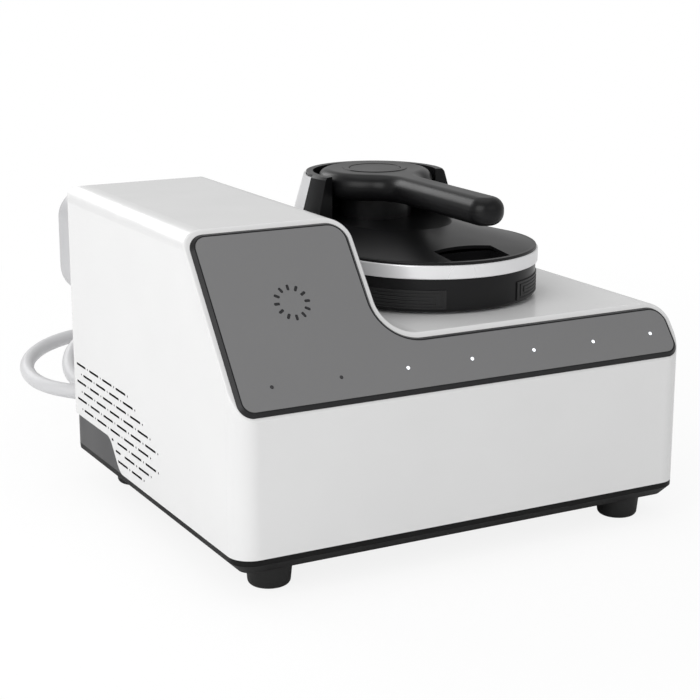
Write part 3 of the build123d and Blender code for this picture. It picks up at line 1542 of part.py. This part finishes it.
sleeve_flange = (26.0, 15.0)
sleeve_flange_depth = 2.5
flange_clear = 1.3        # the flat flange inside the curved wall
wall_inner_y = hub_y + tail_circle_radius - skirt_inset - skirt_ring
with BuildPart() as hose_sleeve:
    with BuildSketch(facing_rear(wall_inner_y - sleeve_flange_depth - flange_clear)):
        with Locations((-hand_x, hand_hose_z)):
            RectangleRounded(*sleeve_flange, 2.0)
    extrude(amount=sleeve_flange_depth)
    with BuildSketch(facing_rear(wall_inner_y - flange_clear)):
        with Locations((-hand_x, hand_hose_z)):
            Circle(sleeve_radius)
    extrude(amount=skirt_ring + flange_clear + 1.0)
    with BuildSketch(facing_rear(wall_inner_y + skirt_ring + 1.0)):
        with Locations((-hand_x, hand_hose_z)):
            Circle(sleeve_radius + 1.6)
    extrude(amount=6.0)
    with BuildSketch(facing_rear(wall_inner_y + skirt_ring + 7.0)):
        with Locations((-hand_x, hand_hose_z)):
            Circle(sleeve_radius + 0.6)
    with BuildSketch(facing_rear(hand_end_y)):
        with Locations((-hand_x, hand_hose_z)):
            Circle(sleeve_tail_radius)
    loft(ruled=True)
finish(hose_sleeve, "hose_sleeve")

lead_radius = 2.0
lead_z = head_board_z + board_thickness + 2.5
with BuildPart() as applicator_leads:
    # from the hose sleeve into the board's rear connector
    with BuildSketch(facing_rear(head_board_centre[1] + 14.0)):
        with Locations((-hand_x, lead_z)):
            Circle(lead_radius)
    extrude(amount=wall_inner_y - sleeve_flange_depth - flange_clear - head_board_centre[1] - 14.0)
    # straight up from the front connector to the button's board
    with BuildSketch(at_height(head_board_z + board_thickness + 5.0)):
        with Locations((head_board_centre[0], head_board_centre[1] - 10.0)):
            Circle(lead_radius)
    extrude(amount=board_shelf_z - head_board_z - board_thickness - 5.0)
finish(applicator_leads, "applicator_leads")

# ---------------------------------------------------------------- hose
# Route from the plug, through two loose turns behind the cabinet that rest on the table at their
# right-hand side, and up to the applicator
hose_route = [
    (hose_x, relief_end_y, hose_z),
    (hose_x, relief_end_y + 48, hose_z),
    (-67, 345, 119),
    (-113, 374, 103),
    (-163, 357, 85),
    (-188, 305, 69),
    (-177, 251, 57),
    (-134, 223, 40),
    (-78, 226, 22),
    (-33, 256, 9),
    (-16, 308, 14),
    (-28, 364, 40),
    (-73, 402, 70),
    (-131, 409, 85),
    (-191, 381, 82),
    (-229, 327, 77),
    (-233, 267, 71),
    (-203, 219, 70),
    (-149, 204, 60),
    (-90, 206, 38),
    (-30, 213, 17),
    (30, 232, 8),
    (82, 266, 12),
    (118, 312, 48),
    (122, 342, 110),
    (102, 326, 171),
    (70, 290, 208),
    (hand_x, 240, hand_hose_z),
    (hand_x, hand_end_y + seat_gap, hand_hose_z),
]
bend_share = 0.48         # of the shorter run beside a corner that its bend may use


def bend_radii(points):
    """Widest bend that fits at each corner of a route."""
    radii = []
    for before, here, after in zip(points, points[1:], points[2:]):
        run_in, run_out = Vector(here) - Vector(before), Vector(after) - Vector(here)
        turn = radians(run_in.get_angle(run_out))
        radii.append(bend_share * min(run_in.length, run_out.length) / tan(turn / 2))
    return radii


with BuildPart() as hose:
    loom(hose_route, bend_radii(hose_route), hose_diameter / 2)
finish(hose, "hose")
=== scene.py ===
"""Desktop facial toning device: finishes, hose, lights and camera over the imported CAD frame.

Everything is in metres, in the frame of the part: +X to the right seen from the panel, +Y to the
back, +Z up, with the origin under the middle of the cabinet."""
import json
from math import cos, radians, sin

import bpy
from mathutils import Matrix, Vector


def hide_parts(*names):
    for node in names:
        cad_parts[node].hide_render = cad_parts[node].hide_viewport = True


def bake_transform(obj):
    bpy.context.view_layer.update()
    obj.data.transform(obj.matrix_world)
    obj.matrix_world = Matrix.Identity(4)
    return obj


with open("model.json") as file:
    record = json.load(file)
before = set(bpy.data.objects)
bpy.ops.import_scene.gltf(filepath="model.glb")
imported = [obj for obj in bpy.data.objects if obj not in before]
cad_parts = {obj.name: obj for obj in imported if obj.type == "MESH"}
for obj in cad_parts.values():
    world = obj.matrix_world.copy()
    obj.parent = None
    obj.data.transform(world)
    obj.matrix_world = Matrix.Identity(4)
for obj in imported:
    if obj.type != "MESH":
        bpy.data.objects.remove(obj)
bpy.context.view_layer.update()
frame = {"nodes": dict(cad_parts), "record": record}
nodes = frame["nodes"]
slot_of = {part["node"]: part["material_slot"] for part in frame["record"]["subparts"]}


# ---------------------------------------------------------------- materials
LIT_KEYS_FROM = -0.10     # key lights to the right of this x are lit
CLOUD_SIZE = 0.06         # patches of slightly other colour in moulded plastic
SHEEN_SIZE = 0.05         # patches of slightly other sheen in it
# where the side vents' walls lie, which get painted shade: middle and half width of the span in |x|, y and
# z
VENT_SHADE_SPANS = ((0.2231, 0.0017), (0.053, 0.113), (0.0815, 0.0415))


class Shader:
    """A node material around one Principled shader, built up by its methods."""

    def __init__(self, name, colour, roughness, metallic=0.0, specular=0.5):
        self.material = bpy.data.materials.new(name)
        self.material.use_nodes = True
        self.nodes = self.material.node_tree.nodes
        self.links = self.material.node_tree.links
        self.principled = self.nodes["Principled BSDF"]
        self.colour = colour
        self.set("Base Color", (*colour, 1.0))
        self.set("Roughness", roughness)
        self.set("Metallic", metallic)
        self.set("Specular IOR Level", specular)
        self.place = self.nodes.new("ShaderNodeTexCoord").outputs["Object"]

    def set(self, socket, value):
        self.principled.inputs[socket].default_value = value

    def noise(self, size, detail=3.0, stretch=(1.0, 1.0, 1.0)):
        """Noise whose blobs are about size metres across."""
        mapping = self.nodes.new("ShaderNodeMapping")
        mapping.inputs["Scale"].default_value = stretch
        self.links.new(self.place, mapping.inputs["Vector"])
        texture = self.nodes.new("ShaderNodeTexNoise")
        texture.inputs["Scale"].default_value = 1.0 / size
        texture.inputs["Detail"].default_value = detail
        self.links.new(mapping.outputs["Vector"], texture.inputs["Vector"])
        return texture.outputs["Fac"]

    def tint(self, factor, spread):
        """Base colour wanders by a share of itself around its value."""
        ramp = self.nodes.new("ShaderNodeValToRGB")
        ramp.color_ramp.elements[0].position = 0.3
        ramp.color_ramp.elements[1].position = 0.7
        ramp.color_ramp.elements[0].color = (*[c * (1 - spread) for c in self.colour], 1.0)
        ramp.color_ramp.elements[1].color = (*[min(c * (1 + spread), 1.0) for c in self.colour], 1.0)
        self.links.new(factor, ramp.inputs["Fac"])
        self.links.new(ramp.outputs["Color"], self.principled.inputs["Base Color"])
        self.shade = ramp.outputs["Color"]

    def math(self, operation, *values):
        """A math node's result; each value is a socket or a number."""
        node = self.nodes.new("ShaderNodeMath")
        node.operation = operation
        for value, socket in zip(values, node.inputs):
            if isinstance(value, float):
                socket.default_value = value
            else:
                self.links.new(value, socket)
        return node.outputs[0]

    def along(self, axis):
        """The place along one axis of the piece, in metres."""
        split = self.nodes.new("ShaderNodeSeparateXYZ")
        self.links.new(self.place, split.inputs[0])
        return split.outputs[axis]

    def repaint(self, share, colour):
        """Another base colour where share is 1."""
        mix = self.nodes.new("ShaderNodeMixRGB")
        mix.inputs["Color2"].default_value = (*colour, 1.0)
        self.links.new(share, mix.inputs["Fac"])
        self.links.new(self.shade, mix.inputs["Color1"])
        self.links.new(mix.outputs["Color"], self.principled.inputs["Base Color"])

    def gloss_range(self, factor, low, high):
        """Roughness wanders between two values."""
        spread = self.nodes.new("ShaderNodeMapRange")
        spread.inputs["From Min"].default_value = 0.35
        spread.inputs["From Max"].default_value = 0.65
        spread.inputs["To Min"].default_value = low
        spread.inputs["To Max"].default_value = high
        self.links.new(factor, spread.inputs["Value"])
        self.links.new(spread.outputs["Result"], self.principled.inputs["Roughness"])

    def bump(self, height, strength, distance):
        """Relief that follows height, up to distance deep."""
        bump = self.nodes.new("ShaderNodeBump")
        bump.inputs["Strength"].default_value = strength
        bump.inputs["Distance"].default_value = distance
        self.links.new(height, bump.inputs["Height"])
        self.links.new(bump.outputs["Normal"], self.principled.inputs["Normal"])


def moulded(
    name, colour, roughness, grain=0.0006, depth=0.00002, spread=0.03, specular=0.5, unevenness=0.06
):
    """Injection-moulded plastic: spark-eroded grain, faint cloudiness and uneven sheen."""
    shader = Shader(name, colour, roughness, specular=specular)
    shader.tint(shader.noise(CLOUD_SIZE, detail=1.0), spread)
    sheen = shader.noise(SHEEN_SIZE, detail=1.0)
    shader.gloss_range(sheen, roughness * (1 - unevenness), roughness * (1 + unevenness))
    shader.bump(shader.noise(grain, detail=1.0), 0.2, depth)
    return shader


def polished(
    name, colour, roughness, cloud, spread, sheen, low, high, metallic=1.0, detail=3.0,
    stretch=(1.0, 1.0, 1.0)
):
    """Metal without grain: clouds in its colour, and streaks in its sheen between low and high."""
    shader = Shader(name, colour, roughness, metallic=metallic)
    shader.tint(shader.noise(cloud, detail=detail), spread)
    shader.gloss_range(shader.noise(sheen, detail=detail, stretch=stretch), low, high)
    return shader


def shell_white():
    """The cabinet's white plastic, with painted shade on the walls of the side vents: they are painted
    near-black as if in the shade of the cabinet's inside.
    """
    white = moulded("white_plastic", (0.72, 0.72, 0.72), 0.24, spread=0.008, depth=0.000008)
    places = (white.math("ABSOLUTE", white.along("X")), white.along("Y"), white.along("Z"))
    across, back, level = [white.math("COMPARE", place, *span) for place, span in zip(places, VENT_SHADE_SPANS)]
    # painted shade: the vents' walls turn near-black, as if in the cabinet's shade
    white.repaint(white.math("MULTIPLY", white.math("MULTIPLY", across, back), level), (0.02, 0.02, 0.02))
    return white


def key_light():
    """Glowing light guide; the two keys at the left end are painted dark and don't glow."""
    lamp = Shader("light_guide", (0.85, 0.88, 0.92), 0.25)
    lamp.tint(lamp.noise(0.001), 0.05)
    lamp.gloss_range(lamp.noise(0.0008), 0.2, 0.35)
    lamp.set("Emission Color", (0.92, 0.96, 1.0, 1.0))
    lit = lamp.math("GREATER_THAN", lamp.along("X"), LIT_KEYS_FROM)
    lamp.links.new(lit, lamp.principled.inputs["Emission Strength"])
    lamp.repaint(lamp.math("SUBTRACT", 1.0, lit), (0.03, 0.03, 0.032))
    return lamp


PLASTICS = {
    "dark_plastic": dict(
        colour=(0.006, 0.006, 0.006), roughness=0.5, grain=0.0012, depth=0.00004, specular=0.14
    ),
    "cheek_plastic": dict(
        colour=(0.07, 0.07, 0.072), roughness=0.5, grain=0.001, depth=0.00003, specular=0.25
    ),
    "black_plastic": dict(colour=(0.007, 0.007, 0.008), roughness=0.35, specular=0.3),
    "panel_grey": dict(
        colour=(0.178, 0.178, 0.18), roughness=0.34, grain=0.0004, depth=0.000004, spread=0.008,
        specular=0.35, unevenness=0.03
    ),
    "light_grey_plastic": dict(colour=(0.46, 0.46, 0.47), roughness=0.4),
    "hose_grey": dict(colour=(0.60, 0.60, 0.61), roughness=0.42, grain=0.0009, depth=0.00004),
    "foot_rubber": dict(
        colour=(0.012, 0.012, 0.012), roughness=0.55, grain=0.0012, depth=0.00005, specular=0.3
    ),
    "handset_black": dict(
        colour=(0.006, 0.006, 0.0065), roughness=0.3, grain=0.0005, depth=0.00001, specular=0.2
    ),
    "handset_rubber": dict(
        colour=(0.01, 0.01, 0.0105), roughness=0.42, grain=0.0007, depth=0.00002, specular=0.35
    ),
    "board_green": dict(
        colour=(0.02, 0.13, 0.06), roughness=0.35, grain=0.002, depth=0.00005, spread=0.15
    ),
    "smoked_lens": dict(colour=(0.012, 0.012, 0.014), roughness=0.16, grain=0.0008, depth=0.000005),
}
METALS = {
    "silver_trim": dict(
        colour=(0.80, 0.80, 0.81), roughness=0.3, metallic=0.45, cloud=0.03, spread=0.02,
        sheen=0.04, low=0.27, high=0.33, detail=1.0
    ),
    "bare_aluminium": dict(
        colour=(0.72, 0.73, 0.75), roughness=0.35, cloud=0.01, spread=0.06,
        sheen=0.002, low=0.28, high=0.45, stretch=(1, 20, 1)
    ),
    "screw_steel": dict(
        colour=(0.5, 0.5, 0.52), roughness=0.3, cloud=0.004, spread=0.08, sheen=0.001, low=0.22, high=0.4
    ),
    "contact_brass": dict(
        colour=(0.72, 0.53, 0.26), roughness=0.3, cloud=0.005, spread=0.08, sheen=0.001, low=0.22, high=0.4
    ),
}


def make_materials():
    """One finish for each material slot of the record."""
    made = {"white_plastic": shell_white(), "light_guide": key_light()}
    for name, finish in PLASTICS.items():
        made[name] = moulded(name, **finish)
    for name, finish in METALS.items():
        made[name] = polished(name, **finish)
    return {slot: shader.material for slot, shader in made.items()}


materials = make_materials()


def dress(piece, slot):
    """Give a piece the finish of its slot alone."""
    piece.data.materials.clear()
    piece.data.materials.append(materials[slot])


for name, node in nodes.items():
    dress(node, slot_of[name])


# ---------------------------------------------------------------- hose
HOSE_DIAMETER = 0.015
HOSE_ROUTE = [
    (-0.050, 0.2412, 0.128),
    (-0.050, 0.2892, 0.128),
    (-0.067, 0.345, 0.119),
    (-0.113, 0.374, 0.103),
    (-0.163, 0.357, 0.085),
    (-0.188, 0.305, 0.069),
    (-0.177, 0.251, 0.057),
    (-0.134, 0.223, 0.040),
    (-0.078, 0.226, 0.022),
    (-0.033, 0.256, 0.009),
    (-0.016, 0.308, 0.014),
    (-0.028, 0.364, 0.040),
    (-0.073, 0.402, 0.070),
    (-0.131, 0.409, 0.085),
    (-0.191, 0.381, 0.082),
    (-0.229, 0.327, 0.077),
    (-0.233, 0.267, 0.071),
    (-0.203, 0.219, 0.070),
    (-0.149, 0.204, 0.060),
    (-0.090, 0.206, 0.038),
    (-0.030, 0.213, 0.017),
    (0.030, 0.232, 0.008),
    (0.082, 0.266, 0.012),
    (0.118, 0.312, 0.048),
    (0.122, 0.342, 0.110),
    (0.102, 0.326, 0.171),
    (0.070, 0.290, 0.208),
    (0.055, 0.240, 0.217),
    (0.055, 0.1863, 0.217),
]


def route_curve(bevel):
    """The hose's smooth line, as a tube of radius bevel or, with 0, as the bare line."""
    curve = bpy.data.curves.new("hose_line", "CURVE")
    curve.dimensions = "3D"
    curve.resolution_u = 10
    spline = curve.splines.new("NURBS")
    spline.points.add(len(HOSE_ROUTE) - 1)
    for point, place in zip(spline.points, HOSE_ROUTE):
        point.co = (*place, 1.0)
    spline.order_u = 3
    spline.use_endpoint_u = True
    curve.bevel_depth = bevel
    curve.bevel_resolution = 6
    curve.use_fill_caps = bevel > 0
    return bpy.data.objects.new("hose_line", curve)


def make_hose():
    """The hose as a smooth tube along its route, in place of the CAD hose."""
    line = bpy.data.meshes.new_from_object(route_curve(0.0))
    tube = bpy.data.meshes.new_from_object(route_curve(HOSE_DIAMETER / 2))
    hose = bpy.data.objects.new("hose_tube", tube)
    bpy.context.collection.objects.link(hose)
    for face in tube.polygons:
        face.use_smooth = True
    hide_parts("hose")
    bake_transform(hose)
    dress(hose, "hose_grey")


make_hose()

# ---------------------------------------------------------------- camera, lights and floor
CAMERA_PLACE = Vector((-0.7612, -1.3922, 0.5466))
CAMERA_TURN = 28.4        # degrees to the right of straight ahead
CAMERA_DOWN = 14.37       # degrees below level
CAMERA_LENS = 87.9
FLOOR_HALF = 40.0         # far past the view on every side
FLOOR_DROP = 0.0003       # below the feet, so that the two share no plane
SHADOW_NEAR, SHADOW_FAR = 0.35, 1.2     # the floor's own shading fades between these distances
NEAR_WHITE = 0.86         # share of plain white in the floor inside the nearer one
WORLD_LEVEL = 0.56
MIDDLE = (0.0, 0.0, 0.15)               # what the main lights face


def make_camera():
    """A camera without roll that looks down over the left front corner."""
    data = bpy.data.cameras.new("camera")
    data.lens = CAMERA_LENS
    data.sensor_width = 36.0
    camera = bpy.data.objects.new("camera", data)
    bpy.context.collection.objects.link(camera)
    turn, down = radians(CAMERA_TURN), radians(CAMERA_DOWN)
    forward = Vector((sin(turn) * cos(down), cos(turn) * cos(down), -sin(down)))
    right = Vector((cos(turn), -sin(turn), 0.0))
    up = right.cross(forward)
    turned = Matrix((right, up, -forward)).transposed().to_4x4()
    camera.matrix_world = Matrix.Translation(CAMERA_PLACE) @ turned
    bpy.context.scene.camera = camera


def softbox(name, place, target, size, power):
    """A rectangular area light at place that faces target."""
    data = bpy.data.lights.new(name, "AREA")
    data.shape = "RECTANGLE"
    data.size, data.size_y = size
    data.energy = power
    lamp = bpy.data.objects.new(name, data)
    bpy.context.collection.objects.link(lamp)
    lamp.location = place
    lamp.rotation_euler = (Vector(target) - Vector(place)).to_track_quat("-Z", "Y").to_euler()


def seen_by_camera(tree):
    """1 for rays straight from the camera, which see the plain white background, else 0."""
    return tree.nodes.new("ShaderNodeLightPath").outputs["Is Camera Ray"]


def make_world(level):
    """Even light of that level, behind a background that the camera sees as white."""
    world = bpy.data.worlds.new("studio")
    bpy.context.scene.world = world
    world.use_nodes = True
    tree = world.node_tree
    light = tree.nodes["Background"]
    light.inputs["Color"].default_value = (1.0, 1.0, 1.0, 1.0)
    light.inputs["Strength"].default_value = level
    white = tree.nodes.new("ShaderNodeBackground")
    white.inputs["Color"].default_value = (1.0, 1.0, 1.0, 1.0)
    white.inputs["Strength"].default_value = 1.0
    mix = tree.nodes.new("ShaderNodeMixShader")
    tree.links.new(seen_by_camera(tree), mix.inputs["Fac"])
    tree.links.new(light.outputs[0], mix.inputs[1])
    tree.links.new(white.outputs[0], mix.inputs[2])
    tree.links.new(mix.outputs[0], tree.nodes["World Output"].inputs["Surface"])


def make_floor():
    """A pale floor that keeps a soft shadow near the cabinet and turns plain white further out."""
    half = FLOOR_HALF
    corners = [(-half, -half, 0), (half, -half, 0), (half, half, 0), (-half, half, 0)]
    mesh = bpy.data.meshes.new("floor")
    mesh.from_pydata(corners, [], [(0, 1, 2, 3)])
    floor = bpy.data.objects.new("floor", mesh)
    bpy.context.collection.objects.link(floor)
    floor.location.z = -FLOOR_DROP
    material = bpy.data.materials.new("pale_floor")
    material.use_nodes = True
    tree = material.node_tree
    principled = tree.nodes["Principled BSDF"]
    principled.inputs["Base Color"].default_value = (0.95, 0.95, 0.95, 1.0)
    principled.inputs["Roughness"].default_value = 0.9
    principled.inputs["Specular IOR Level"].default_value = 0.1
    glow = tree.nodes.new("ShaderNodeEmission")
    glow.inputs["Strength"].default_value = 1.0
    place = tree.nodes.new("ShaderNodeTexCoord")
    reach = tree.nodes.new("ShaderNodeVectorMath")
    reach.operation = "LENGTH"
    fade = tree.nodes.new("ShaderNodeMapRange")
    fade.inputs["From Min"].default_value = SHADOW_NEAR
    fade.inputs["From Max"].default_value = SHADOW_FAR
    fade.inputs["To Min"].default_value = NEAR_WHITE
    fade.inputs["To Max"].default_value = 1.0
    share = tree.nodes.new("ShaderNodeMath")
    share.operation = "MULTIPLY"
    mix = tree.nodes.new("ShaderNodeMixShader")
    tree.links.new(place.outputs["Object"], reach.inputs[0])
    tree.links.new(reach.outputs["Value"], fade.inputs["Value"])
    tree.links.new(fade.outputs["Result"], share.inputs[1])
    tree.links.new(seen_by_camera(tree), share.inputs[0])
    tree.links.new(share.outputs[0], mix.inputs["Fac"])
    tree.links.new(principled.outputs[0], mix.inputs[1])
    tree.links.new(glow.outputs[0], mix.inputs[2])
    tree.links.new(mix.outputs[0], tree.nodes["Material Output"].inputs["Surface"])
    mesh.materials.append(material)


make_camera()
make_world(WORLD_LEVEL)
make_floor()
softbox("key_left", (-2.4, -1.2, 1.5), MIDDLE, (2.2, 2.2), 44.0)
softbox("fill_front", (0.6, -2.8, 1.6), MIDDLE, (2.4, 1.6), 6.0)
softbox("top", (0.2, 0.3, 2.6), (0.0, 0.0, 0.2), (2.0, 2.0), 9.0)
softbox("rim_back", (-0.9, 2.6, 1.7), (-0.1, 0.0, 0.25), (2.2, 1.2), 26.0)
bpy.context.scene.view_settings.view_transform = "Standard"
